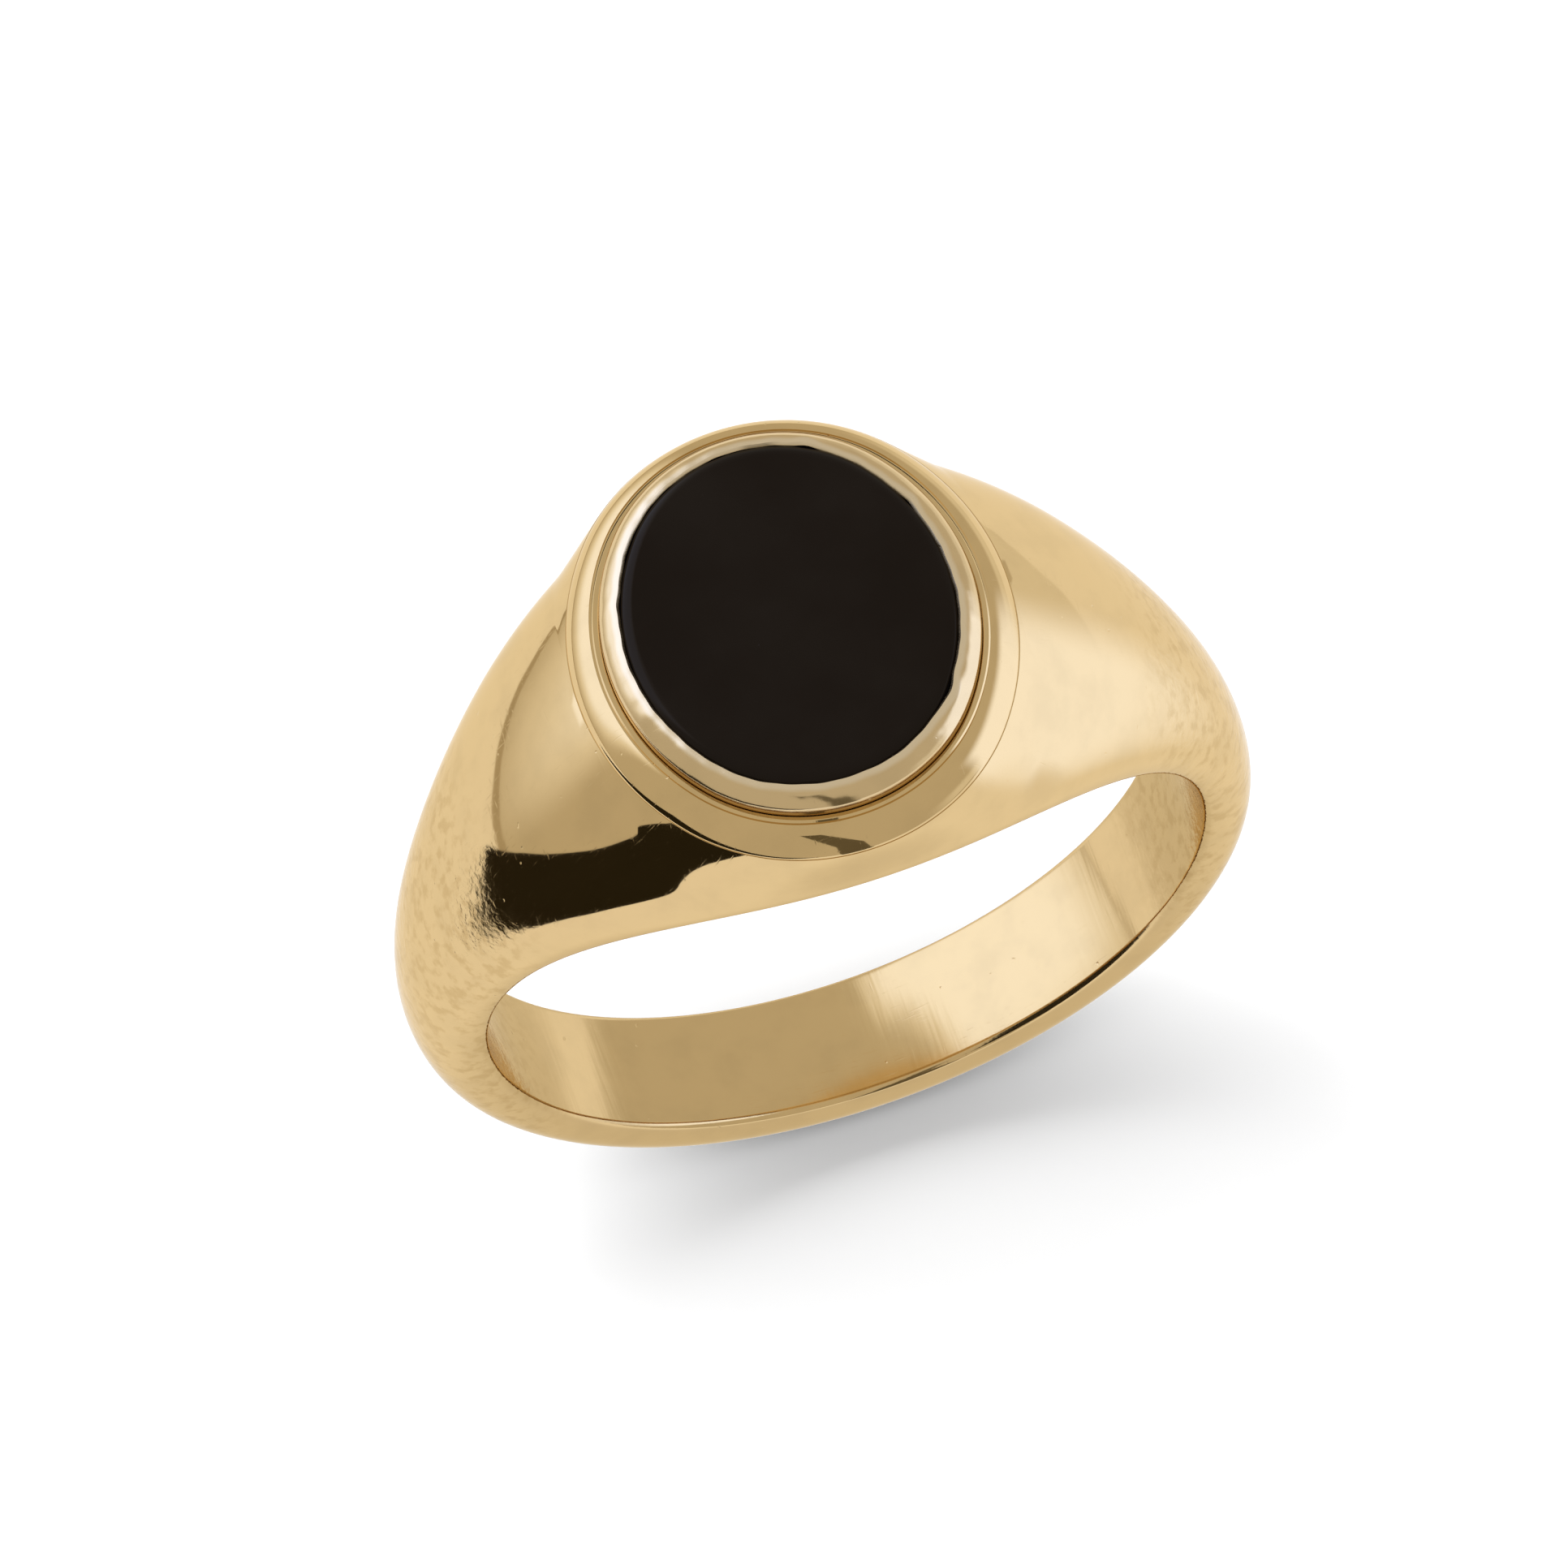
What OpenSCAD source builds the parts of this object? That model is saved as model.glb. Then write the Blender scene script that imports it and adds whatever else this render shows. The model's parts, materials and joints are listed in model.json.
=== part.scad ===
// Signet ring with an oval tablet stone in a burnished bezel on a stepped collar.
// Origin: centre of the finger hole. The hole runs along Y, the head faces +Z.

/* [Finger hole] */
// Inside diameter
bore_d = 20; // [18:0.1:24]

/* [Hoop] */
// Width of the band at the back of the finger
band_w = 3.6; // [2.8:0.1:5]
// Width of the band at the sides of the finger
side_w = 4; // [3:0.1:5]
// Thickness of the crown at the back of the finger
band_t = 2; // [1.3:0.05:3]
// Thickness of the crown at the sides of the finger
side_t = 1.8; // [1.3:0.05:3]
// How far the widest point of the hoop lies below the centre of the hole
side_drop = 0.3; // [0:0.1:1]

/* [Head] */
// Height of the head's flat above the top of the finger hole
head_h = 2.5; // [2.1:0.1:3.2]
// How far each end wall of the head leans in, from the flat down to the finger hole
head_taper = 0.35; // [0.2:0.05:0.9]
// Slope of the shoulders where they leave the flat, in degrees
shoulder_slope = 45.5; // [32:0.5:52]
// Length over which the shoulders keep that slope
shoulder_run = 3.2; // [2:0.1:5]
// Height over which the shoulders stay upright beside the finger
shoulder_rise = 5.6; // [3:0.1:6]
// Depth of the pocket that takes the bezel, below the flat
pocket_depth = 1.4; // [1:0.05:1.7]

/* [Stone] */
// Length of the oval stone, along the finger
stone_l = 10.5; // [9.9:0.1:12.8]
// Width of the oval stone, across the finger
stone_w = 9; // [7.2:0.1:9.6]
// Thickness of the stone
stone_t = 2.2; // [1.8:0.05:2.8]
// Radius of the rolled edge around its flat top
roll_r = 0.5; // [0.35:0.05:0.7]

/* [Bezel] */
// Thickness of the bezel strip
bezel_t = 0.42; // [0.3:0.01:0.6]
// How far the lip is rubbed over the edge of the stone
lip_cover = 0.15; // [0.08:0.01:0.22]
// Thickness of the lip at its tip
lip_t = 0.1; // [0.06:0.01:0.16]

/* [Stepped collar] */
// Width of the collar, from the bezel out
collar_w = 0.9; // [0.75:0.01:1.1]
// Height of the collar above the flat
collar_h = 0.74; // [0.6:0.01:0.95]
// Radius of its rounded outer edge
collar_r = 0.5; // [0.2:0.05:0.55]
// Width of the flat step beside the bezel
step_w = 0.19; // [0.1:0.01:0.24]
// Width of the groove between the step and the rounded part
groove_w = 0.08; // [0.05:0.01:0.12]
// Depth of that groove
groove_depth = 0.1; // [0.05:0.01:0.2]

/* [Seat] */
// Width of the bearer ring under the stone
bearer_w = 0.7; // [0.4:0.05:1.2]
// Height of the bearer ring
bearer_h = 0.7; // [0.4:0.05:0.9]

/* [Fits] */
// Clearance between the stone and the metal around it
stone_fit = 0.02; // [0.01:0.005:0.04]
// Solder gap on each side of the bezel strip
solder_gap = 0.02; // [0.01:0.005:0.04]

/* [Hidden] */

gold = "#D4B880";
lip_gold = "#E6D6B4";
grey_cement = "#8C8A84";
onyx_black = "#1A1614";

// Facets of a full turn: the hole, and the arcs of the oval pieces
bore_fn = 180;
oval_fn = 180;
// Steps along a quarter of the hoop, a shoulder and a quarter of the head's rim
hoop_steps = 12;
shoulder_steps = 14;
rim_steps = 14;
// Steps from the hole to the crown, and along a rounded edge in a profile
flank_steps = 8;
edge_steps = 6;

bore_r = bore_d / 2;
flat_z = bore_r + head_h;
pocket_z = flat_z - pocket_depth;
seat_z = pocket_z + bearer_h;
stone_top_z = seat_z + stone_t;
roll_z = stone_top_z - roll_r;
collar_top_z = flat_z + collar_h;

// Distances out from the stone's own outline
bezel_in = stone_fit;
bezel_out = bezel_in + bezel_t;
collar_in = bezel_out + solder_gap;
collar_out = collar_in + collar_w;
// The flat reaches a hair past the collar, so the collar never overhangs it
rim_out = collar_out + 0.02;

// The oval is a four-arc oval on 3-4-5 triangles: two end arcs with centres on Y and two
// longer side arcs with centres on X, which meet where the centres' lines cross them
half_l = stone_l / 2;
half_w = stone_w / 2;
oval_unit = (half_l - half_w) / 2;
side_x = 4 * oval_unit;
end_y = 3 * oval_unit;
side_r = half_w + side_x;
end_r = half_l - end_y;
// Direction, from +X, in which a side arc meets an end arc
join_angle = atan2(3, 4);

// How the widening of the hoop towards the head is held back to its last stretch
flare_power = 4.6;
// Fullness of the band's section at the back of the finger: 2 is an ellipse
band_power = 3.6;
// How late it changes to that of the rim, on the way up
power_delay = 1.4;
// Roundness left in the head's end walls where the flat cuts them
wall_reserve = 0.85;
// Where around the hoop its sides start to lean out, and how late they do on their way up
lean_start = 110;
lean_power = 1.8;
// How far the blank for the shank reaches inside the finished hole
bore_stock = 0.8;
over = 1;

function mix(a, b, t) = a + (b - a) * t;
function bezier(a, b, c, d, t) =
    a * pow(1 - t, 3) + 3 * b * t * pow(1 - t, 2) + 3 * c * t * t * (1 - t) + d * pow(t, 3);

// Point of the oval grown by `out`, where its outward direction is `a` degrees from +X
function oval_point(out, a) = a <= join_angle
    ? [(side_r + out) * cos(a) - side_x, (side_r + out) * sin(a)]
    : [(end_r + out) * cos(a), (end_r + out) * sin(a) + end_y];

// Points of a circular arc
function arc_points(x, y, r, from, to) =
    [for (i = [0 : edge_steps]) let (a = mix(from, to, i / edge_steps)) [x + r * cos(a), y + r * sin(a)]];

// ---- Shank -----------------------------------------------------------------
// The blank is made of radial sections. A section's angle is turned about Y, from the back
// of the finger (0) to the head (180), and its depth is measured out from the finger hole.

rim_x = half_w + rim_out;
rim_y = half_l + rim_out;
head_half = rim_y - head_taper;
rim_angle = 180 - atan2(rim_x, flat_z);
rim_depth = norm([rim_x, flat_z]) - bore_r;

// Crown of the right half in side view, as [x, z], and half the flat's width there
function hoop_crown(t) =
    [(bore_r + side_t) * sin(90 * t), -side_drop - (bore_r + band_t - side_drop) * cos(90 * t)];

function shoulder_crown(t) = let (side = [bore_r + side_t, -side_drop], top = [rim_x, flat_z])
    bezier(side, side + [0, shoulder_rise],
        top + shoulder_run * [cos(shoulder_slope), -sin(shoulder_slope)], top, t);

function section(crown, half_flat) =
    [atan2(crown[0], -crown[1]), norm(crown) - bore_r, half_flat];

half_sections = concat(
    [for (i = [0 : hoop_steps - 1]) section(hoop_crown(i / hoop_steps), 0)],
    [for (i = [0 : shoulder_steps - 1]) section(shoulder_crown(i / shoulder_steps), 0)],
    [for (i = [0 : rim_steps]) let (p = oval_point(rim_out, 90 * i / rim_steps)) section([p[0], flat_z], p[1])]
);
half_count = len(half_sections);

// Half the width of the band at the hole
function half_width(a) = let (s = (1 - cos(a)) / 2)
    band_w / 2 + (side_w - band_w) * s
    + (head_half - side_w + band_w / 2) * pow(s, flare_power);

// How much wider the head's walls are at the crown than at the hole
function lean(a) = let (t = max(0, (a - lean_start) / (180 - lean_start)))
    (head_taper + wall_reserve) * (3 * t * t - 2 * pow(t, 3));

// Fullness of the section at the rim, where the crown is as broad as the side of the oval
rim_power = 2 * (side_r + rim_out) * rim_depth * (sin(rim_angle) - cos(rim_angle) / tan(shoulder_slope))
    / pow(half_width(rim_angle) + lean(rim_angle), 2);

// Half the width of a section [angle, depth, half flat] at a share of its depth. Across the
// head, the flat cuts the section where it is just as wide as the rim.
function half_at(s, share) = let (
        power = mix(band_power, rim_power, pow(min(s[0] / rim_angle, 1), power_delay)),
        root = half_width(s[0]),
        cut = pow(1 - pow(s[2] / (root + lean(s[0])), 2), 1 / rim_power)
    ) (root + lean(s[0]) * pow(share, lean_power)) * sqrt(max(0, 1 - pow(cut * share, power)));

// One side of a section, from inside the hole up to the crown or to the edge of the flat
function flank(s) = let (out = [sin(s[0]), 0, -cos(s[0])]) concat(
        [(bore_r - bore_stock) * out - [0, half_width(s[0]), 0]],
        [for (i = [1 : flank_steps]) let (share = sin(90 * i / flank_steps))
            (bore_r + share * s[1]) * out - [0, half_at(s, share), 0]]);

function flip_x(p) = [-p[0], p[1], p[2]];
function flip_y(p) = [p[0], -p[1], p[2]];

near_half = [for (s = half_sections) flank(s)];
// All sections once around: right half upwards, then left half back down
near_all = concat(near_half,
    [for (i = [half_count - 2 : -1 : 1]) [for (p = near_half[i]) flip_x(p)]]);
ring_count = len(near_all);
row = flank_steps + 1;
far_start = ring_count * row;

rim_first = hoop_steps + shoulder_steps;
// The near and far crowns part only along the rim of the head
function on_rim(i) = i > rim_first && i < ring_count - rim_first;
function near_id(i, j) = (i % ring_count) * row + j;
function far_id(i, j) = (j == row - 1 && !on_rim(i % ring_count))
    ? near_id(i, j) : far_start + (i % ring_count) * row + j;

module shank_blank() {
    near_points = [for (r = near_all) for (p = r) p];
    far_points = [for (p = near_points) flip_y(p)];
    near_faces = [for (i = [0 : ring_count - 1]) for (j = [0 : row - 2]) each [
        [near_id(i, j), near_id(i, j + 1), near_id(i + 1, j + 1)],
        [near_id(i, j), near_id(i + 1, j + 1), near_id(i + 1, j)]]];
    far_faces = [for (i = [0 : ring_count - 1]) for (j = [0 : row - 2]) each [
        [far_id(i, j), far_id(i + 1, j + 1), far_id(i, j + 1)],
        [far_id(i, j), far_id(i + 1, j), far_id(i + 1, j + 1)]]];
    inner_faces = [for (i = [0 : ring_count - 1]) each [
        [near_id(i, 0), near_id(i + 1, 0), far_id(i + 1, 0)],
        [near_id(i, 0), far_id(i + 1, 0), far_id(i, 0)]]];
    top_ring = concat(
        [for (i = [rim_first : ring_count - rim_first]) near_id(i, row - 1)],
        [for (i = [ring_count - rim_first - 1 : -1 : rim_first + 1]) far_id(i, row - 1)]);
    polyhedron(concat(near_points, far_points),
        concat(near_faces, far_faces, inner_faces, [[for (i = [len(top_ring) - 1 : -1 : 0]) top_ring[i]]]),
        convexity = 6);
}

module shank() {
    color(gold) difference() {
        shank_blank();
        rotate([90, 0, 0]) cylinder(h = 4 * rim_y, r = bore_r, center = true, $fn = bore_fn);
        oval_disc(collar_in, pocket_z, flat_z + over);
    }
}

// ---- Oval pieces -----------------------------------------------------------

// Runs its children's profile around the oval: x is the distance out from the stone's
// outline, y is the height
module oval_sweep() {
    for (mx = [0, 1]) for (my = [0, 1]) mirror([mx, 0, 0]) mirror([0, my, 0]) {
        translate([-side_x, 0]) rotate_extrude(angle = join_angle, $fn = oval_fn)
            translate([side_r, 0]) children();
        translate([0, end_y]) rotate_extrude(angle = 90 - join_angle, start = join_angle, $fn = oval_fn)
            translate([end_r, 0]) children();
    }
}

// Outline of the oval grown by `out`
module oval_outline(out) {
    intersection() {
        for_side(-1) circle(r = side_r + out, $fn = oval_fn);
        for_side(1) circle(r = side_r + out, $fn = oval_fn);
        square([2 * (half_w + out) + over, 2 * (end_y + (end_r + out) * sin(join_angle))], center = true);
    }
    for (y = [-end_y, end_y]) translate([0, y]) circle(r = end_r + out, $fn = oval_fn);
}

module for_side(side) {
    translate([side * side_x, 0]) children();
}

// Straight-walled oval disc between two heights
module oval_disc(out, z0, z1) {
    translate([0, 0, z0]) linear_extrude(z1 - z0) oval_outline(out);
}

module stepped_collar() {
    step_end = collar_in + step_w;
    groove_end = step_end + groove_w;
    round_z = collar_top_z - collar_r;
    color(gold) oval_sweep() polygon(concat(
        [[collar_in, flat_z], [collar_out, flat_z]],
        arc_points(collar_out - collar_r, round_z, collar_r, 0, 90),
        [[groove_end, collar_top_z], [groove_end, collar_top_z - groove_depth],
            [step_end, collar_top_z - groove_depth], [step_end, collar_top_z],
            [collar_in, collar_top_z]]));
}

module bezel() {
    // The lip follows the stone's rolled edge, whose centre is here
    roll_s = -roll_r;
    inner_r = roll_r + stone_fit;
    tip_r = inner_r + lip_t;
    tip_angle = acos((roll_r - lip_cover) / inner_r);
    foot_r = bezel_out - roll_s;
    color(lip_gold) oval_sweep() polygon(concat(
        [[bezel_in, pocket_z], [bezel_out, pocket_z]],
        [for (i = [0 : edge_steps]) let (t = i / edge_steps, a = tip_angle * t, r = mix(foot_r, tip_r, t))
            [roll_s + r * cos(a), roll_z + r * sin(a)]],
        arc_points(roll_s, roll_z, inner_r, tip_angle, 0)));
}

module bearer() {
    color(gold) oval_sweep() translate([-bearer_w, pocket_z]) square([bearer_w, bearer_h]);
}

module cement_bed() {
    color(grey_cement) oval_disc(-bearer_w, pocket_z, seat_z);
}

module onyx_tablet() {
    color(onyx_black) {
        oval_disc(0, seat_z, roll_z);
        oval_disc(-roll_r, roll_z, stone_top_z);
        oval_sweep() polygon(concat([[-roll_r, roll_z]], arc_points(-roll_r, roll_z, roll_r, 0, 90)));
    }
}

shank();
stepped_collar();
bezel();
bearer();
cement_bed();
onyx_tablet();
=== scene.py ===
import json
import math

import bpy
from mathutils import Matrix, Vector


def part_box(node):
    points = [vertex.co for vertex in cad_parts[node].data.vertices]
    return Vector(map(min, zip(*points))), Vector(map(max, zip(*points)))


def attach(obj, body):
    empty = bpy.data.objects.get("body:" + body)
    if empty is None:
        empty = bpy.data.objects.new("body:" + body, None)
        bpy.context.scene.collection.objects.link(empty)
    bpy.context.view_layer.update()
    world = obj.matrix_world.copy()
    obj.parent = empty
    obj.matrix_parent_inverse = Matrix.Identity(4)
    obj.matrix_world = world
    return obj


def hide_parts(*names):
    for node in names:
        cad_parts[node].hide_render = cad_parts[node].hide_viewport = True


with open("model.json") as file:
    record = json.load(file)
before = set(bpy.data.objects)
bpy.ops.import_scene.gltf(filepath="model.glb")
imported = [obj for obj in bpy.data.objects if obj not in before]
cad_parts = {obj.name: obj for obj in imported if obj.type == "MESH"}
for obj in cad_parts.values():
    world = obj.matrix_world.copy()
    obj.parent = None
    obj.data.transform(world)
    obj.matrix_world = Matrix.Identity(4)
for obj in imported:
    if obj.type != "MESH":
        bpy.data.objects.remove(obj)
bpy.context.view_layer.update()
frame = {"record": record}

# ---- Shank -----------------------------------------------------------------
# The hoop, its shoulders and the oval head are one casting in 9 carat yellow gold. The outside
# is polished by hand. The sides of the hoop and the finger hole keep a fine grain from the
# emery stick, and a pocket in the head takes the bezel.

MM = 0.001

bore_r = frame["record"]["mounts"][0]["dims"]["r_mm"]
shank_low, shank_high = (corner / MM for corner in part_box("shank"))
collar_low, collar_high = (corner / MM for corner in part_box("stepped_collar"))
stone_low, stone_high = (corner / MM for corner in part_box("onyx_tablet"))
bezel_low, bezel_high = (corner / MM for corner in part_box("bezel"))

band_t = -shank_low.z - bore_r
side_t = shank_high.x - bore_r
side_drop = 0.3
band_w = 3.6
side_w = 4.0
head_taper = 0.35
shoulder_slope = math.radians(45.5)
shoulder_run = 3.2
shoulder_rise = 5.6
flat_z = collar_low.z
pocket_z = bezel_low.z
rim_margin = 0.02
solder_gap = 0.02
bore_edge_r = 0.22

# How late and how fully the hoop spreads into the head
flare_power = 4.6
band_power = 3.6
power_delay = 1.4
wall_reserve = 0.85
lean_start = math.radians(110)
lean_power = 1.8

# The stone's outline: a four-arc oval on 3-4-5 triangles
half_l = stone_high.y
half_w = stone_high.x
side_x = 2 * (half_l - half_w)
end_y = 1.5 * (half_l - half_w)
side_r = half_w + side_x
end_r = half_l - end_y
join_angle = math.atan2(3, 4)

rim_out = collar_high.x - half_w + rim_margin
rim_x = half_w + rim_out
head_half = half_l + rim_out - head_taper
rim_angle = math.pi - math.atan2(rim_x, flat_z)
rim_depth = math.hypot(rim_x, flat_z) - bore_r

# A torus holds at most 256 sections, so these three come to 128 in each half
HOOP_STEPS = 42
SHOULDER_STEPS = 42
RIM_STEPS = 44
FLANK_STEPS = 30
EDGE_STEPS = 5
half_count = HOOP_STEPS + SHOULDER_STEPS + RIM_STEPS


def mix(a, b, t):
    return a + (b - a) * t


def rim_half(x):
    """Half the width of the head's flat, at a distance from its middle."""
    x = min(abs(x), rim_x)
    if x < (end_r + rim_out) * math.cos(join_angle):
        return end_y + math.sqrt((end_r + rim_out) ** 2 - x * x)
    return math.sqrt(max(0, (side_r + rim_out) ** 2 - (x + side_x) ** 2))


def hoop_crown(t):
    turn = math.pi / 2 * t
    drop = bore_r + band_t - side_drop
    return (bore_r + side_t) * math.sin(turn), -side_drop - drop * math.cos(turn)


def shoulder_crown(t):
    side = Vector((bore_r + side_t, -side_drop))
    top = Vector((rim_x, flat_z))
    lift = side + Vector((0, shoulder_rise))
    run = top + shoulder_run * Vector((math.cos(shoulder_slope), -math.sin(shoulder_slope)))
    return side * (1 - t) ** 3 + 3 * lift * t * (1 - t) ** 2 + 3 * run * t * t * (1 - t) + top * t**3


def half_width(turn):
    share = (1 - math.cos(turn)) / 2
    spread = head_half - side_w + band_w / 2
    return band_w / 2 + (side_w - band_w) * share + spread * share**flare_power


def lean(turn):
    t = max(0, (turn - lean_start) / (math.pi - lean_start))
    return (head_taper + wall_reserve) * (3 * t * t - 2 * t**3)


rim_spread = half_width(rim_angle) + lean(rim_angle)
rim_fall = math.sin(rim_angle) - math.cos(rim_angle) / math.tan(shoulder_slope)
rim_power = 2 * (side_r + rim_out) * rim_depth * rim_fall / rim_spread**2


def half_at(turn, share, flat_half):
    """Half the width of the metal around the hoop, at a share of its depth out from the hole."""
    power = mix(band_power, rim_power, min(turn / rim_angle, 1) ** power_delay)
    root = half_width(turn)
    cut = (1 - (flat_half / (root + lean(turn))) ** 2) ** (1 / rim_power)
    leaning = root + lean(turn) * share**lean_power
    return leaning * math.sqrt(max(0, 1 - (cut * share) ** power))


def metal_point(section, row):
    """A point of the near right quarter, by its section from the bottom and its row from the hole."""
    if section <= HOOP_STEPS + SHOULDER_STEPS:
        if section < HOOP_STEPS:
            crown = hoop_crown(section / HOOP_STEPS)
        else:
            crown = shoulder_crown((section - HOOP_STEPS) / SHOULDER_STEPS)
        turn = math.atan2(crown[0], -crown[1])
        depth = math.hypot(*crown) - bore_r
        flat_half, last_row = 0, FLANK_STEPS + 0.5
    else:
        t = (section - HOOP_STEPS - SHOULDER_STEPS) / RIM_STEPS
        way = math.pi / 2 * t
        if way < join_angle:
            rim = (side_r + rim_out) * math.cos(way) - side_x
        else:
            rim = (end_r + rim_out) * math.cos(way)
        share = math.sin(math.pi / 2 * max(0, row - EDGE_STEPS) / (FLANK_STEPS - EDGE_STEPS))
        turn = mix(mix(rim_angle, math.pi, t), math.pi - math.atan2(rim, flat_z), share)
        x = flat_z * math.tan(math.pi - turn)
        depth = math.hypot(x, flat_z) - bore_r
        flat_half, last_row = rim_half(x), FLANK_STEPS
    if row < EDGE_STEPS:
        bend = math.pi / 2 * row / EDGE_STEPS
        share = bore_edge_r * (1 - math.cos(bend)) / depth
        inset = bore_edge_r * (1 - math.sin(bend))
    else:
        start = math.asin(bore_edge_r / depth)
        share = math.sin(mix(start, math.pi / 2, (row - EDGE_STEPS) / (last_row - EDGE_STEPS)))
        inset = 0
    out = bore_r + share * depth
    half = half_at(turn, share, flat_half) - inset
    return Vector((out * math.sin(turn), -half, -out * math.cos(turn)))


# A ring of metal is drawn out into the hoop: its points come section by section, and in each
# section from the crown down the near side to the hole, then up the far side
bpy.ops.object.select_all(action="DESELECT")
bpy.ops.mesh.primitive_torus_add(
    major_radius=(bore_r + band_t / 2) * MM, minor_radius=band_t / 2 * MM, rotation=(math.pi / 2, 0, 0),
    major_segments=2 * half_count, minor_segments=2 * (FLANK_STEPS + 1))
shank = bpy.context.object
shank.name = "gold_shank"
bpy.ops.object.transform_apply(rotation=True)
for vertex in shank.data.vertices:
    section, place = divmod(vertex.index, 2 * (FLANK_STEPS + 1))
    near = place <= FLANK_STEPS
    row = FLANK_STEPS - place if near else place - FLANK_STEPS - 1
    point = metal_point(min(section, 2 * half_count - section), row)
    left = section > half_count
    vertex.co = Vector((-point.x if left else point.x, point.y if near else -point.y, point.z)) * MM


def pick_faces(piece, wanted):
    """Leaves the piece in edit mode with only the faces selected whose centre and normal are wanted."""
    bpy.ops.object.mode_set(mode="OBJECT")
    for vertex in piece.data.vertices:
        vertex.select = False
    for edge in piece.data.edges:
        edge.select = False
    for face in piece.data.polygons:
        face.select = wanted(face.center / MM, face.normal)
    bpy.ops.object.mode_set(mode="EDIT")
    bpy.ops.mesh.select_mode(type="FACE")


# The shoulder is stoned smooth where it runs into the side of the head, and less so away from it
stoned_arc = math.radians(15)
stoned_passes = 30
bpy.ops.object.mode_set(mode="OBJECT")
stoned = shank.vertex_groups.new(name="beside_head")
for vertex in shank.data.vertices:
    place = vertex.co / MM
    turn = math.atan2(abs(place.x), -place.z)
    depth = math.hypot(place.x, place.z) - bore_r
    weight = max(0, 1 - abs(turn - rim_angle) / stoned_arc)
    weight *= min(1, max(0, (depth - 0.4) / 1.4)) * min(1, max(0, (flat_z - 0.15 - place.z) / 1.2))
    if weight > 0:
        stoned.add([vertex.index], weight, "REPLACE")
bpy.ops.object.modifier_add(type="SMOOTH")
stoning = shank.modifiers[-1]
stoning.factor = 0.5
stoning.iterations = stoned_passes
stoning.vertex_group = stoned.name
bpy.ops.object.modifier_apply(modifier=stoning.name)
shank.vertex_groups.clear()

# The flat of the head and the pocket sunk into it
pick_faces(shank, lambda centre, normal: centre.z > flat_z - 0.01 and normal.z > 0.99)
bpy.ops.mesh.dissolve_faces()
bpy.ops.mesh.inset(thickness=(rim_out - (bezel_high.x - half_w) - solder_gap) * MM)
bpy.ops.mesh.extrude_region_move(TRANSFORM_OT_translate={"value": (0, 0, (pocket_z - flat_z) * MM)})
bpy.ops.object.mode_set(mode="OBJECT")
bpy.ops.object.shade_smooth_by_angle(angle=math.radians(35))


def tree_of(name):
    """A new material, with its nodes and links."""
    material = bpy.data.materials.new(name)
    material.use_nodes = True
    return material, material.node_tree.nodes, material.node_tree.links


def blend(nodes, links, kind, factor, low, high):
    """A Mix node between two values, colours or sockets."""
    node = nodes.new("ShaderNodeMix")
    node.data_type = kind
    first, second, result = (2, 3, 0) if kind == "FLOAT" else (6, 7, 2)
    given_to = ((0, factor), (first, low), (second, high))
    for socket, given in ((node.inputs[number], value) for number, value in given_to):
        if isinstance(given, bpy.types.NodeSocket):
            links.new(given, socket)
        elif isinstance(given, tuple):
            socket.default_value = (*given, 1)
        else:
            socket.default_value = given
    return node.outputs[result]


def ramp(nodes, links, value, low, high, bottom=0, top=1):
    """A smooth step of a value between two limits."""
    node = nodes.new("ShaderNodeMapRange")
    node.interpolation_type = "SMOOTHSTEP"
    links.new(value, node.inputs["Value"])
    for name, limit in (("From Min", low), ("From Max", high), ("To Min", bottom), ("To Max", top)):
        node.inputs[name].default_value = limit
    return node.outputs["Result"]


def noise(nodes, links, scale, detail=2, stretch=(1, 1, 1), turn=(0, 0, 0)):
    """Noise on the piece's own coordinates: scale is in spots per metre."""
    coordinates = nodes.new("ShaderNodeTexCoord")
    mapping = nodes.new("ShaderNodeMapping")
    mapping.inputs["Scale"].default_value = stretch
    mapping.inputs["Rotation"].default_value = turn
    texture = nodes.new("ShaderNodeTexNoise")
    texture.inputs["Scale"].default_value = scale
    texture.inputs["Detail"].default_value = detail
    links.new(coordinates.outputs["Object"], mapping.inputs["Vector"])
    links.new(mapping.outputs["Vector"], texture.inputs["Vector"])
    return texture.outputs["Fac"]


def add_bump(nodes, links, height, depth, before=None):
    """A bump whose full height is a depth in millimetres."""
    bump = nodes.new("ShaderNodeBump")
    bump.inputs["Distance"].default_value = depth * MM
    links.new(height, bump.inputs["Height"])
    if before:
        links.new(before, bump.inputs["Normal"])
    return bump.outputs["Normal"]


def calculate(nodes, links, operation, first, second):
    node = nodes.new("ShaderNodeMath")
    node.operation = operation
    for socket, given in zip(node.inputs, (first, second)):
        if isinstance(given, bpy.types.NodeSocket):
            links.new(given, socket)
        else:
            socket.default_value = given
    return node.outputs["Value"]


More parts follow.
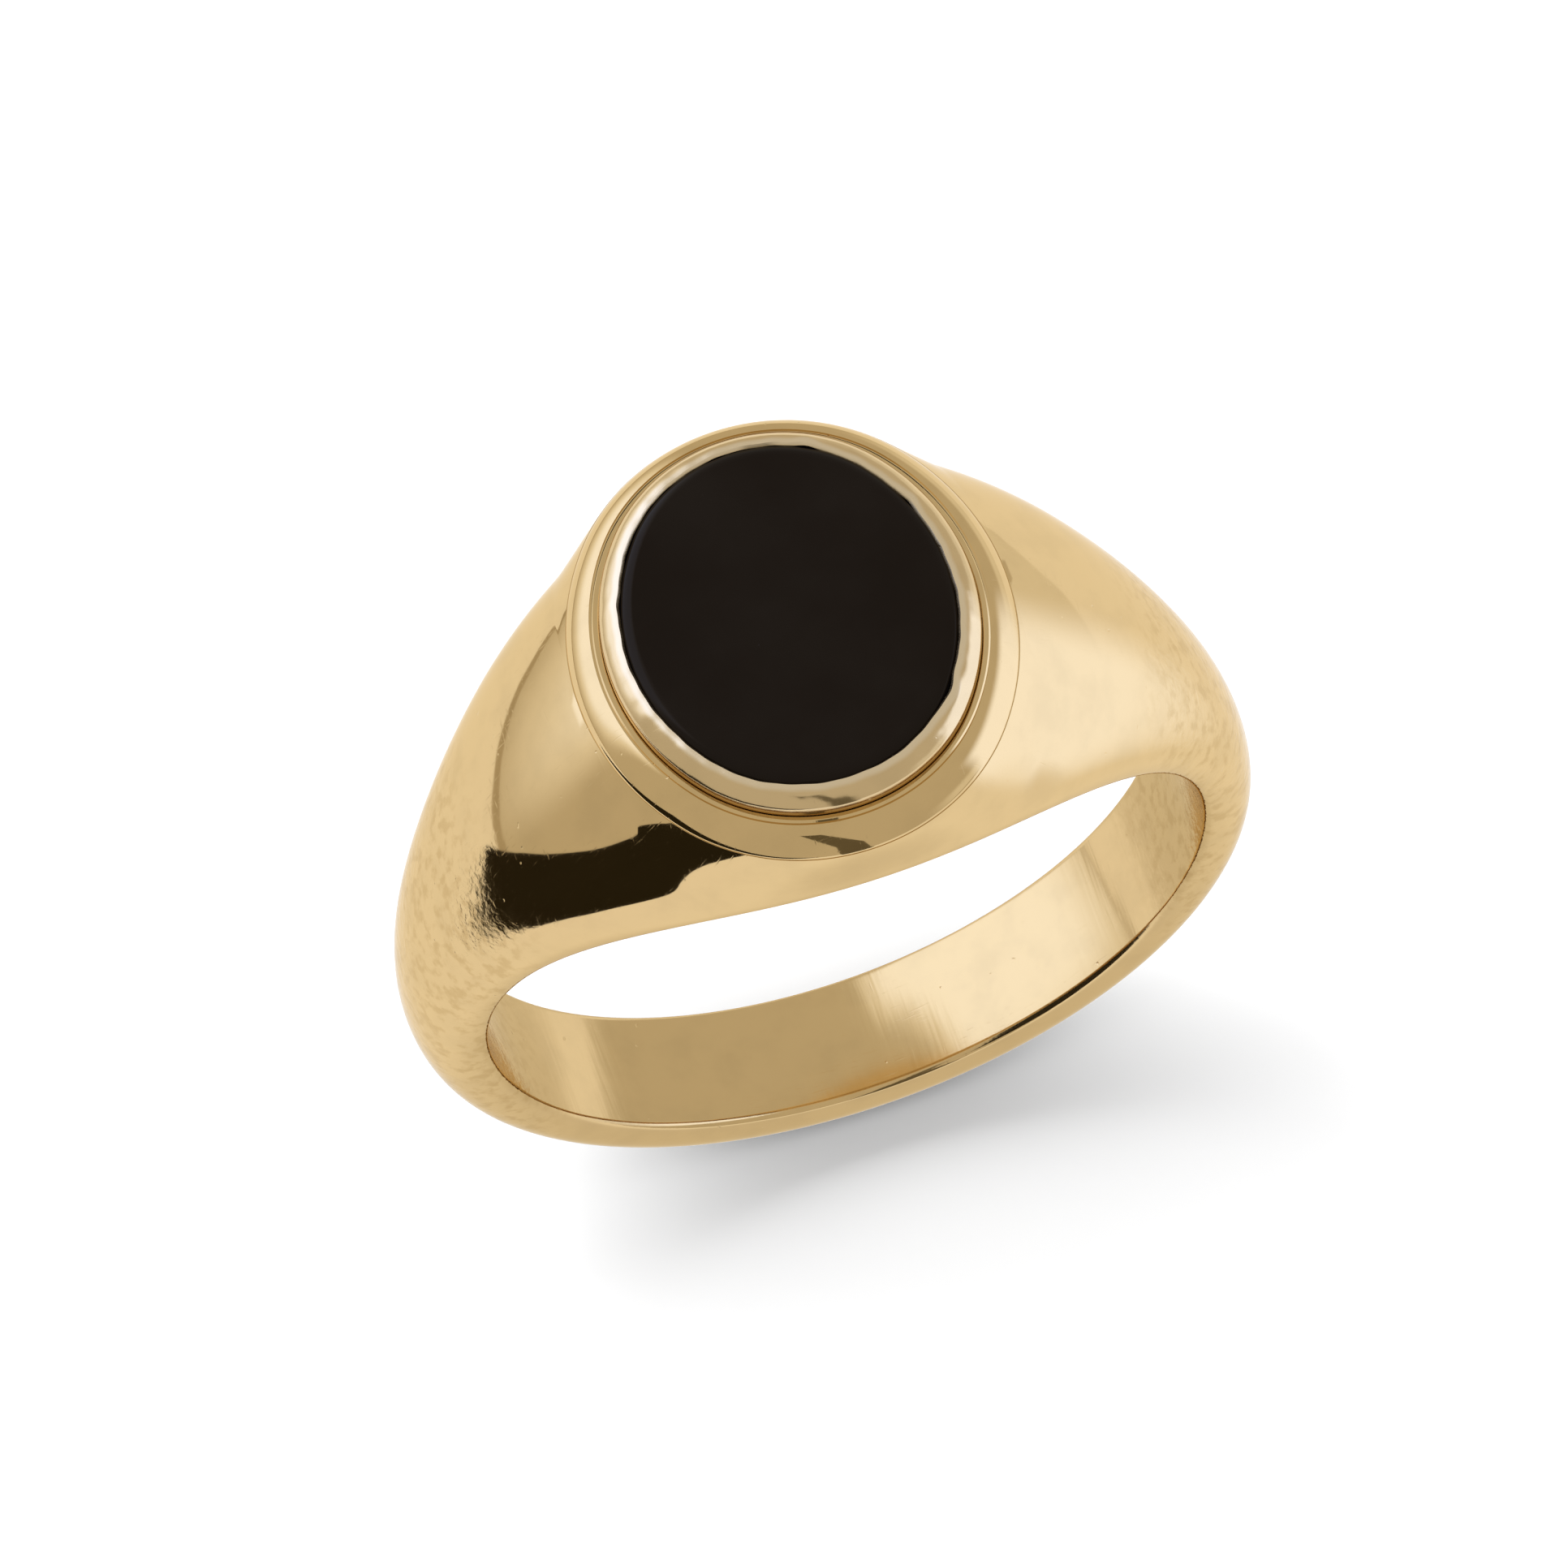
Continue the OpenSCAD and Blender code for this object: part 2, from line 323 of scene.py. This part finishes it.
def make_gold(name, colour, roughness, edge=(0.94, 0.86, 0.7)):
    """Polished gold: slow waves from the polishing mop, hairline scratches and a few pits."""
    material, nodes, links = tree_of(name)
    shader = nodes["Principled BSDF"]
    shader.inputs["Metallic"].default_value = 1
    shader.inputs["Specular Tint"].default_value = (*edge, 1)
    waves = noise(nodes, links, 210, 1)
    along = noise(nodes, links, 1500, 3, (1, 14, 1), (0.3, 0.2, 0.5))
    across = noise(nodes, links, 1300, 3, (12, 1, 3), (0.2, 0.6, 0.1))
    hairlines = ramp(nodes, links, along, 0.62, 0.76)
    cross_lines = ramp(nodes, links, across, 0.64, 0.78)
    scratches = calculate(nodes, links, "MAXIMUM", hairlines, cross_lines)
    pits = ramp(nodes, links, noise(nodes, links, 4200, 1), 0.76, 0.83)
    cloud = noise(nodes, links, 900, 4)
    normal = add_bump(nodes, links, waves, 0.05)
    normal = add_bump(nodes, links, scratches, -0.0006, normal)
    normal = add_bump(nodes, links, pits, -0.006, normal)
    links.new(normal, shader.inputs["Normal"])
    dull = tuple(0.94 * c for c in colour)
    links.new(blend(nodes, links, "RGBA", ramp(nodes, links, cloud, 0.4, 0.75), colour, dull),
              shader.inputs["Base Color"])
    scuffed = blend(nodes, links, "FLOAT", scratches, roughness, roughness + 0.1)
    links.new(scuffed, shader.inputs["Roughness"])
    return material


polished_gold = make_gold("polished_gold", (0.658, 0.479, 0.239), 0.05)

# The sides of the hoop and the finger hole are less polished
nodes, links = polished_gold.node_tree.nodes, polished_gold.node_tree.links
shader = nodes["Principled BSDF"]
place = nodes.new("ShaderNodeTexCoord").outputs["Object"]
split = nodes.new("ShaderNodeSeparateXYZ")
links.new(place, split.inputs[0])
flattened = nodes.new("ShaderNodeVectorMath")
flattened.operation = "MULTIPLY"
flattened.inputs[1].default_value = (1, 0, 1)
links.new(place, flattened.inputs[0])
radius = nodes.new("ShaderNodeVectorMath")
radius.operation = "LENGTH"
links.new(flattened.outputs["Vector"], radius.inputs[0])
in_hole = ramp(nodes, links, radius.outputs["Value"], (bore_r + 0.12) * MM, (bore_r + 0.02) * MM)
sideways = calculate(nodes, links, "ABSOLUTE", split.outputs["X"], 0)
on_side = calculate(
    nodes, links, "MULTIPLY", ramp(nodes, links, sideways, 0.78 * bore_r * MM, 0.98 * bore_r * MM),
    ramp(nodes, links, split.outputs["Z"], 0.95 * bore_r * MM, 0.65 * bore_r * MM))
grain = ramp(nodes, links, noise(nodes, links, 4300, 6), 0.4, 0.68)
side_grain = calculate(nodes, links, "MULTIPLY", grain, on_side)
hatch = ramp(nodes, links, noise(nodes, links, 3200, 2, (1, 0.08, 1)), 0.3, 0.8)
hole_hatch = calculate(nodes, links, "MULTIPLY", hatch, in_hole)
normal = shader.inputs["Normal"].links[0].from_socket
normal = add_bump(nodes, links, side_grain, 0.0035, normal)
normal = add_bump(nodes, links, hole_hatch, 0.002, normal)
links.new(normal, shader.inputs["Normal"])
tone = shader.inputs["Base Color"].links[0].from_socket
spots = ramp(nodes, links, noise(nodes, links, 2600, 7), 0.45, 0.66)
speckle = calculate(nodes, links, "MULTIPLY", spots, on_side)
links.new(blend(nodes, links, "RGBA", speckle, tone, (0.555, 0.39, 0.18)), shader.inputs["Base Color"])
polish = shader.inputs["Roughness"].links[0].from_socket
polish = blend(nodes, links, "FLOAT", in_hole, polish, 0.13)
links.new(blend(nodes, links, "FLOAT", on_side, polish, 0.1), shader.inputs["Roughness"])

shank.data.materials.append(polished_gold)
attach(shank, "root")
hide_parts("shank")

# ---- Stepped collar --------------------------------------------------------
# An oval gold moulding soldered on the head's flat: a flat step beside the bezel, a fine
# groove, then a domed edge that comes down to a crisp seam on the shank.

step_w = 0.19
step_rise = 0.04
groove_w = 0.07
groove_depth = 0.05
dome_start, dome_end = math.radians(20), math.radians(64)
dome_foot = 0.03
step_bevel = 0.04
inner_bevel = 0.03


def draw_profile(name, points, closed=True):
    """A wire in the XZ plane, drawn point by point beside the middle of the stone's long side."""
    bpy.ops.object.select_all(action="DESELECT")
    bpy.ops.mesh.primitive_plane_add(size=MM)
    piece = bpy.context.object
    piece.name = name
    bpy.ops.object.mode_set(mode="EDIT")
    bpy.ops.mesh.select_mode(type="VERT")
    bpy.ops.mesh.merge(type="CENTER")
    places = [Vector((half_w + out, 0, height)) * MM for out, height in points]
    bpy.ops.transform.translate(value=places[0])
    if closed:
        places.append(places[0])
    for start, end in zip(places, places[1:]):
        bpy.ops.mesh.extrude_region_move(TRANSFORM_OT_translate={"value": end - start})
    bpy.ops.mesh.select_all(action="SELECT")
    bpy.ops.mesh.remove_doubles(threshold=0.001 * MM)
    return piece


def spin_round_oval(piece, steps=160):
    """Spins the piece's wire round the four arcs of the oval, and caps what is left open."""
    side, end = join_angle, math.pi / 2 - join_angle
    for centre, arc in (((-side_x, 0), side), ((0, -end_y), 2 * end), ((side_x, 0), 2 * side),
                        ((0, end_y), 2 * end), ((-side_x, 0), side)):
        bpy.ops.mesh.spin(
            steps=round(steps * arc / (2 * math.pi)), angle=arc, axis=(0, 0, 1),
            center=(centre[0] * MM, centre[1] * MM, 0))
    bpy.ops.mesh.select_all(action="SELECT")
    bpy.ops.mesh.remove_doubles(threshold=0.001 * MM)
    bpy.ops.mesh.fill_holes(sides=0)
    bpy.ops.mesh.normals_make_consistent(inside=False)
    bpy.ops.object.mode_set(mode="OBJECT")
    bpy.ops.object.shade_smooth_by_angle(angle=math.radians(35))


def arc_points(centre, radius, start, end, steps=10):
    """Points of an arc in a profile, its angles in degrees from straight out, towards up."""
    turns = [math.radians(mix(start, end, i / steps)) for i in range(steps + 1)]
    return [(centre[0] + radius * math.cos(a), centre[1] + radius * math.sin(a)) for a in turns]


collar_out = collar_high.x - half_w
collar_in = bezel_high.x - half_w + solder_gap
step_end = collar_in + step_w
groove_end = step_end + groove_w
collar_top = collar_high.z
dome_low = collar_low.z + dome_foot
dome_high = collar_top - step_rise
dome_w = collar_out - groove_end

# The dome is an arc that leaves the groove at one slope and reaches the seam at another
dome_r = dome_w / (math.sin(dome_end) - math.sin(dome_start))
dome_fall = dome_r * (math.cos(dome_start) - math.cos(dome_end))
dome = [(groove_end + dome_r * (math.sin(slope) - math.sin(dome_start)),
         dome_high - (dome_high - dome_low) * dome_r
         * (math.cos(dome_start) - math.cos(slope)) / dome_fall)
        for slope in (mix(dome_end, dome_start, i / 16) for i in range(17))]
collar = draw_profile("stepped_collar_gold", [
    (collar_in, collar_low.z), (collar_out, collar_low.z), *dome,
    (groove_end, dome_high - groove_depth), (step_end, dome_high - groove_depth),
    (step_end, collar_top - step_bevel), (step_end - step_bevel, collar_top),
    (collar_in + inner_bevel, collar_top), (collar_in, collar_top - inner_bevel)])
spin_round_oval(collar)
collar.data.materials.append(polished_gold)
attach(collar, "root")
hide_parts("stepped_collar")

# ---- Bezel -----------------------------------------------------------------
# A strip of gold bent round the stone and soldered into the pocket. Its upper edge is rubbed
# over the stone's rolled edge with a burnisher, which leaves the lip a little uneven. The lip's
# paler tone is partly the burnished metal and partly a painted highlight.

roll_r = 0.5
stone_fit = 0.02
lip_cover = 0.15
lip_t = 0.1
roll_z = stone_high.z - roll_r
bezel_out = bezel_high.x - half_w
lip_inner_r = roll_r + stone_fit
tip_angle = math.degrees(math.acos((roll_r - lip_cover) / lip_inner_r))


def lip_outside(t):
    turn = math.radians(tip_angle * t)
    radius = mix(bezel_out + roll_r, lip_inner_r + lip_t, t)
    return -roll_r + radius * math.cos(turn), roll_z + radius * math.sin(turn)


bezel = draw_profile("burnished_bezel", [
    (stone_fit, pocket_z), (bezel_out, pocket_z),
    *[lip_outside(i / 12) for i in range(13)],
    *arc_points((-roll_r, roll_z), lip_inner_r, tip_angle, 0)])
spin_round_oval(bezel, steps=480)

# The burnisher's strokes push the lip in and out by a few hundredths, and most at one side. Four
# nicks each have a heading in degrees, a depth in millimetres and a spread in degrees
nicks = [(158, 0.025, 3), (66, 0.07, 4), (28, 0.05, 3), (-48, 0.1, 5)]
tip_z = roll_z + lip_inner_r * math.sin(math.radians(tip_angle))
for vertex in bezel.data.vertices:
    place = vertex.co / MM
    turn = math.atan2(place.y, place.x)
    share = min(1, max(0, (place.z - roll_z) / (tip_z - roll_z))) ** 2
    push = 0.01 * math.sin(7 * turn + 1) + 0.008 * math.sin(17 * turn + 2) + 0.006 * math.sin(41 * turn)
    push += 0.05 * max(0, math.cos(turn - math.radians(35))) ** 3
    for heading, depth, spread in nicks:
        push -= depth * math.exp(-((math.degrees(turn) - heading) / spread) ** 2)
    vertex.co -= Vector((math.cos(turn), math.sin(turn), 0.25)) * push * share * MM
bezel_gold_and_lip_highlight = make_gold("bright_cut_gold", (0.66, 0.5, 0.28), 0.14)

# Small facets from the burnisher, and a duller lip painted paler: partly the burnished metal's tone, partly
# a painted highlight
nodes, links = bezel_gold_and_lip_highlight.node_tree.nodes, bezel_gold_and_lip_highlight.node_tree.links
shader = nodes["Principled BSDF"]
level = nodes.new("ShaderNodeSeparateXYZ")
links.new(nodes.new("ShaderNodeTexCoord").outputs["Object"], level.inputs[0])
on_lip = ramp(nodes, links, level.outputs["Z"], (tip_z - 0.02) * MM, (tip_z + 0.05) * MM)
normal = shader.inputs["Normal"].links[0].from_socket
normal = add_bump(nodes, links, noise(nodes, links, 1300, 2), 0.014, normal)
links.new(normal, shader.inputs["Normal"])
tone = shader.inputs["Base Color"].links[0].from_socket
# Partly a painted highlight: the base colour turns paler towards the lip's tip
links.new(blend(nodes, links, "RGBA", on_lip, tone, (0.72, 0.6, 0.42)), shader.inputs["Base Color"])
polish = shader.inputs["Roughness"].links[0].from_socket
links.new(blend(nodes, links, "FLOAT", on_lip, polish, 0.24), shader.inputs["Roughness"])
bezel.data.materials.append(bezel_gold_and_lip_highlight)
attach(bezel, "root")
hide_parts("bezel")

# ---- Bearer and cement bed -------------------------------------------------
# Inside the bezel, a gold bearer ring holds the stone up and grey setting cement fills the
# hollow under it. The stone hides both, so their plain solids stay.

grey_cement, nodes, links = tree_of("grey_cement")
shader = nodes["Principled BSDF"]
shader.inputs["Roughness"].default_value = 0.9
mottle = noise(nodes, links, 2500, 4)
links.new(blend(nodes, links, "RGBA", mottle, (0.15, 0.145, 0.135), (0.24, 0.235, 0.22)),
          shader.inputs["Base Color"])
links.new(add_bump(nodes, links, noise(nodes, links, 6000, 3), 0.02), shader.inputs["Normal"])
for node, finish in (("bearer", polished_gold), ("cement_bed", grey_cement)):
    for slot in bpy.data.objects[node].material_slots:
        slot.material = finish

# ---- Onyx tablet -----------------------------------------------------------
# An oval of black onyx, lapped flat on top and polished, with a rolled edge and a straight
# girdle below it. It is held by the bezel's lip and stands on the bearer.

foot_bevel = 0.08
rolled_edge = arc_points((-roll_r, roll_z), roll_r, 0, 90)
onyx = draw_profile("onyx_tablet_stone", [
    (-foot_bevel, stone_low.z), (0, stone_low.z + foot_bevel), *rolled_edge], closed=False)
spin_round_oval(onyx)
onyx_black, nodes, links = tree_of("onyx_black")
shader = nodes["Principled BSDF"]
shader.inputs["Specular IOR Level"].default_value = 0.14
shader.inputs["Specular Tint"].default_value = (1, 0.78, 0.56, 1)
smoke = ramp(nodes, links, noise(nodes, links, 260, 4), 0.35, 0.75)
links.new(blend(nodes, links, "RGBA", smoke, (0.0026, 0.0018, 0.0018), (0.0046, 0.0036, 0.0034)),
          shader.inputs["Base Color"])
rubs = ramp(nodes, links, noise(nodes, links, 1100, 3, (1, 16, 1), (0, 0, 1.1)), 0.68, 0.8)
specks = ramp(nodes, links, noise(nodes, links, 5200, 1), 0.79, 0.85)
normal = add_bump(nodes, links, noise(nodes, links, 320, 1), 0.004)
normal = add_bump(nodes, links, rubs, -0.0005, normal)
normal = add_bump(nodes, links, specks, -0.004, normal)
links.new(normal, shader.inputs["Normal"])
links.new(blend(nodes, links, "FLOAT", calculate(nodes, links, "MAXIMUM", rubs, smoke), 0.07, 0.12),
          shader.inputs["Roughness"])
onyx.data.materials.append(onyx_black)
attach(onyx, "root")
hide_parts("onyx_tablet")

# ---- Floor and light -------------------------------------------------------
# A pale floor under the ring, in a light tent with one soft key lamp. The tent's cards and its
# own floor show only in reflections, so they neither shade the floor nor block a view.

bpy.ops.object.select_all(action="DESELECT")
bpy.ops.mesh.primitive_plane_add(size=2, location=(0, 0, shank_low.z * MM))
floor = bpy.context.object
floor.name = "pale_floor"
pale, nodes, links = tree_of("pale_card")
nodes["Principled BSDF"].inputs["Base Color"].default_value = (0.92, 0.92, 0.92, 1)
nodes["Principled BSDF"].inputs["Roughness"].default_value = 1
nodes["Principled BSDF"].inputs["Specular IOR Level"].default_value = 0
floor.data.materials.append(pale)
floor.visible_glossy = False


def before_floor(nodes, links):
    """One, or nothing for light that the ring throws back on the floor."""
    path = nodes.new("ShaderNodeLightPath")
    return calculate(nodes, links, "LESS_THAN", path.outputs["Diffuse Depth"], 0.5)


def glow(name, colour):
    """A matt card's light, with no gloss of its own."""
    material, nodes, links = tree_of(name)
    shader = nodes["Principled BSDF"]
    shader.inputs["Base Color"].default_value = (0, 0, 0, 1)
    shader.inputs["Specular IOR Level"].default_value = 0
    shader.inputs["Emission Color"].default_value = (*colour, 1)
    links.new(before_floor(nodes, links), shader.inputs["Emission Strength"])
    return material, nodes, links


def show_in_gold(card, material):
    """Leaves the card only in reflections."""
    card.data.materials.append(material)
    card.visible_camera = card.visible_diffuse = card.visible_shadow = False
    card.visible_transmission = False


def tent_card(name, corners):
    """A flat card with any number of corners, in millimetres."""
    bpy.ops.object.select_all(action="DESELECT")
    bpy.ops.mesh.primitive_circle_add(vertices=len(corners), radius=MM, fill_type="NGON")
    card = bpy.context.object
    card.name = name
    for vertex, corner in zip(card.data.vertices, corners):
        vertex.co = Vector(corner) * MM
    return card


def around(azimuth, distance, height):
    """A place by its direction from the front, its distance from the hole's centre and its height."""
    turn = math.radians(azimuth)
    return distance * math.sin(turn), -distance * math.cos(turn), height


tent_r = 90
ground = shank_low.z - 0.2
shade, mid_light, top_light = (0.705, 0.664, 0.58), (1.08, 1.09, 1.12), (1.44, 1.6, 2.1)

# The tent's floor glows dimmer close to the ring: a painted shadow of the ring, seen only in reflections
floor_glow, nodes, links = glow("tent_floor", mid_light)
reach = nodes.new("ShaderNodeVectorMath")
reach.operation = "LENGTH"
links.new(nodes.new("ShaderNodeTexCoord").outputs["Object"], reach.inputs[0])
# Painted shadow: the glow is dimmed and warmed within about 13 to 22 mm of the ring's centre
links.new(blend(nodes, links, "RGBA", ramp(nodes, links, reach.outputs["Value"], 0.013, 0.022),
                (0.86, 0.83, 0.78), (1.14, 1.14, 1.17)), nodes["Principled BSDF"].inputs["Emission Color"])
show_in_gold(tent_card("tent_floor", [around(a, tent_r, ground) for a in range(-180, 180, 10)]), floor_glow)

# The gap between the floor and the tent's wall, which closes on the right and at the back
gap_h = 3
bpy.ops.object.select_all(action="DESELECT")
bpy.ops.mesh.primitive_cylinder_add(
    vertices=72, radius=tent_r * MM, depth=gap_h * MM, end_fill_type="NOTHING",
    location=(0, 0, (ground + gap_h / 2) * MM))
gap = bpy.context.object
gap.name = "tent_gap"
pick_faces(gap, lambda centre, normal: centre.x > 20 and centre.y > -30)
bpy.ops.mesh.delete(type="FACE")
bpy.ops.object.mode_set(mode="OBJECT")
show_in_gold(gap, glow("tent_gap", (0.56, 0.5, 0.4))[0])

# A dark card that leans back over the left shoulder, 28 mm from the hole's centre, and the dark
# camera on its stand
card_centre = Vector((-26.31, -9.58, 0))
card_along, card_up = Vector((0.342, -0.94, 0)), Vector((0.72, 0.262, 0.643))
dark_corners = [(-18.7, 1.3), (-16.5, -11), (-13, -22), (42, -22), (30, 10), (1.3, 18.3)]
show_in_gold(
    tent_card("dark_card", [card_centre + u * card_along + w * card_up for u, w in dark_corners]),
    glow("dark_card", (0.024, 0.02, 0.012))[0])
show_in_gold(
    tent_card("camera_stand", [around(-6, 60, -12), around(7, 60, -12), around(3, 60, 20),
                               around(-14, 60, 66), around(-24, 60, 66), around(-8, 60, 20)]),
    glow("camera_stand", (0.16, 0.14, 0.1))[0])

# A near reflector on the right, brightest at its middle
panel_low, panel_high = around(45, 27, -12), around(112, 27, 26)
panel = tent_card("right_reflector", [panel_low, (*panel_high[:2], -12), panel_high, (*panel_low[:2], 26)])
panel_glow, nodes, links = glow("right_reflector", top_light)
panel_place = nodes.new("ShaderNodeTexCoord").outputs["Object"]
panel_split = nodes.new("ShaderNodeSeparateXYZ")
links.new(panel_place, panel_split.inputs[0])
fade_up = ramp(nodes, links, panel_split.outputs["Z"], -0.013, 0.004)
fade_top = ramp(nodes, links, panel_split.outputs["Z"], 0.026, 0.018)
fade_back = ramp(nodes, links, panel_split.outputs["Y"], 0.0085, 0.001)
front_edge = panel_low[1] * MM
fade_front = ramp(nodes, links, panel_split.outputs["Y"], front_edge + 0.002, front_edge + 0.006)
fade = calculate(nodes, links, "MULTIPLY", calculate(nodes, links, "MULTIPLY", fade_up, fade_top),
                 calculate(nodes, links, "MULTIPLY", fade_back, fade_front))
links.new(fade, nodes["Principled BSDF"].inputs["Alpha"])
show_in_gold(panel, panel_glow)

# The tent: a broad soft light on its left and back, dimmer towards the floor, and plain white
# for everything but the gloss
lit_heading = math.radians(230)
world = bpy.data.worlds.new("light_tent")
world.use_nodes = True
nodes, links = world.node_tree.nodes, world.node_tree.links
turned = nodes.new("ShaderNodeVectorRotate")
turned.rotation_type = "Z_AXIS"
turned.inputs["Angle"].default_value = lit_heading
links.new(nodes.new("ShaderNodeTexCoord").outputs["Generated"], turned.inputs["Vector"])
heading = nodes.new("ShaderNodeSeparateXYZ")
links.new(turned.outputs["Vector"], heading.inputs[0])
off_centre = calculate(nodes, links, "ABSOLUTE", calculate(
    nodes, links, "ARCTAN2", heading.outputs["Y"], heading.outputs["X"]), 0)
beside = ramp(nodes, links, off_centre, math.radians(44), math.radians(22))
height = ramp(nodes, links, heading.outputs["Z"], -0.45, 0.42)
under_top = ramp(nodes, links, heading.outputs["Z"], 0.93, 0.8)
lit = calculate(nodes, links, "MULTIPLY", calculate(nodes, links, "MULTIPLY", beside, height), under_top)
away = ramp(nodes, links, off_centre, math.radians(60), math.radians(80))
low_wall = calculate(nodes, links, "MULTIPLY", ramp(nodes, links, heading.outputs["Z"], 0.08, -0.1), away)
right_side = ramp(nodes, links, heading.outputs["Y"], 0.2, -0.2)
low_right = calculate(nodes, links, "MULTIPLY", low_wall, right_side)
tent = blend(nodes, links, "RGBA", low_right, shade, (0.98, 0.97, 0.95))
tent = blend(nodes, links, "RGBA", ramp(nodes, links, lit, 0, 0.5), tent, mid_light)
tent = blend(nodes, links, "RGBA", ramp(nodes, links, lit, 0.35, 1), tent, top_light)
tent = blend(nodes, links, "RGBA", before_floor(nodes, links), (0.15, 0.15, 0.15), tent)
gloss = nodes.new("ShaderNodeLightPath").outputs["Is Glossy Ray"]
white = blend(nodes, links, "RGBA", beside, (1.17, 1.17, 1.17), (2.8, 2.8, 2.8))
links.new(blend(nodes, links, "RGBA", gloss, white, tent), nodes["Background"].inputs["Color"])
bpy.context.scene.world = world

bpy.ops.object.light_add(type="AREA", location=(-0.06, 0.12, 0.25))
key = bpy.context.object
key.name = "key_lamp"
key.data.size = 0.1
key.data.energy = 0.06
key.rotation_euler = (Vector((0, 0, 0)) - key.location).to_track_quat("-Z", "Y").to_euler()
key.visible_glossy = False

bpy.context.scene.view_settings.view_transform = "Standard"

# ---- Camera ----------------------------------------------------------------
# A long lens looks down from the front and a little from the left, and is tilted a few degrees.
# It aims beside the ring's centre, so that the ring fills the middle of the frame.

azimuth, elevation, roll = (math.radians(a) for a in (-11.0, 61.5, -7.9))
distance = 600
aim_left, aim_up = 1.04, 2.13
lens_mm = 518
back = Vector((math.sin(azimuth) * math.cos(elevation), -math.cos(azimuth) * math.cos(elevation),
               math.sin(elevation)))
level_right = Vector((math.cos(azimuth), math.sin(azimuth), 0))
level_up = back.cross(level_right)
right = math.cos(roll) * level_right + math.sin(roll) * level_up
up = math.cos(roll) * level_up - math.sin(roll) * level_right
eye = distance * back - aim_left * right + aim_up * up
bpy.ops.object.camera_add()
camera = bpy.context.object
camera.data.lens = lens_mm
camera.data.sensor_width = 36
camera.data.clip_start = 0.01
camera.data.clip_end = 10
camera.matrix_world = Matrix((
    (right.x, up.x, back.x, eye.x * MM),
    (right.y, up.y, back.y, eye.y * MM),
    (right.z, up.z, back.z, eye.z * MM),
    (0, 0, 0, 1)))
bpy.context.scene.camera = camera
